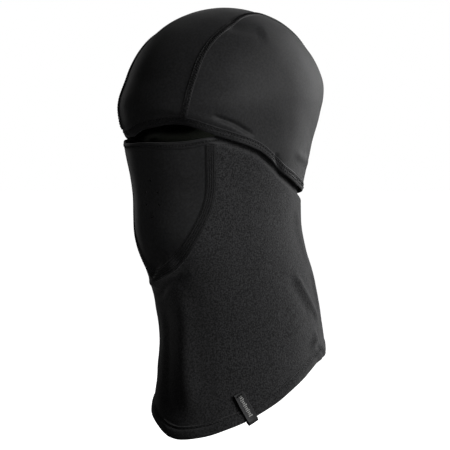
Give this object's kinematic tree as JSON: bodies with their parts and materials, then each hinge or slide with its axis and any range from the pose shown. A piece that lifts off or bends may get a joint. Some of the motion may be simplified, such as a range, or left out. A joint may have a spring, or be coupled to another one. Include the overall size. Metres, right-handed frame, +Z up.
{
  "type": "hinged ski balaclava",
  "caption": "Close-fitting winter balaclava: stretch hood, smooth mask panel with breathing holes and fleece neck, hinged at the nape.",
  "frame": {"origin": "middle of the wearer's head, halfway between the ears, inside the hood", "axes": "+Z up, the face looks along -Y, +X is the wearer's left"},
  "size_m": [0.1546, 0.2072, 0.3745],
  "materials": {
    "softshell": "smooth matt stretch softshell, near black",
    "fleece": "brushed stretch fleece, near black",
    "thread": "textured polyester sewing thread, near black",
    "label": "woven damask label with a plain pale stripe",
    "satin": "pale satin care label, blank"
  },
  "bodies": {
    "hood": {"crown_panel": "softshell", "side_panel_left": "softshell", "side_panel_right": "softshell", "crown_seam_left": "thread", "crown_seam_right": "thread", "hood_hem": "softshell", "hood_hem_stitching": "thread"},
    "mask_and_neck": {"mask_panel": "softshell", "mask_top_hem": "softshell", "mask_top_stitching": "thread", "mask_seam": "thread", "neck_panel": "fleece", "neck_back_seam": "thread", "nape_seam": "thread", "bottom_hem": "fleece", "bottom_hem_stitching": "thread", "hem_tack": "thread", "woven_label": "label", "label_tack": "thread", "care_label": "satin"}
  },
  "joints": [
    {"name": "mask_pull_down", "type": "hinge", "parent": "hood", "child": "mask_and_neck", "pos_m": [0, 0.077, -0.044], "axis": [1, 0, 0], "range_deg": [0, 30]}
  ]
}
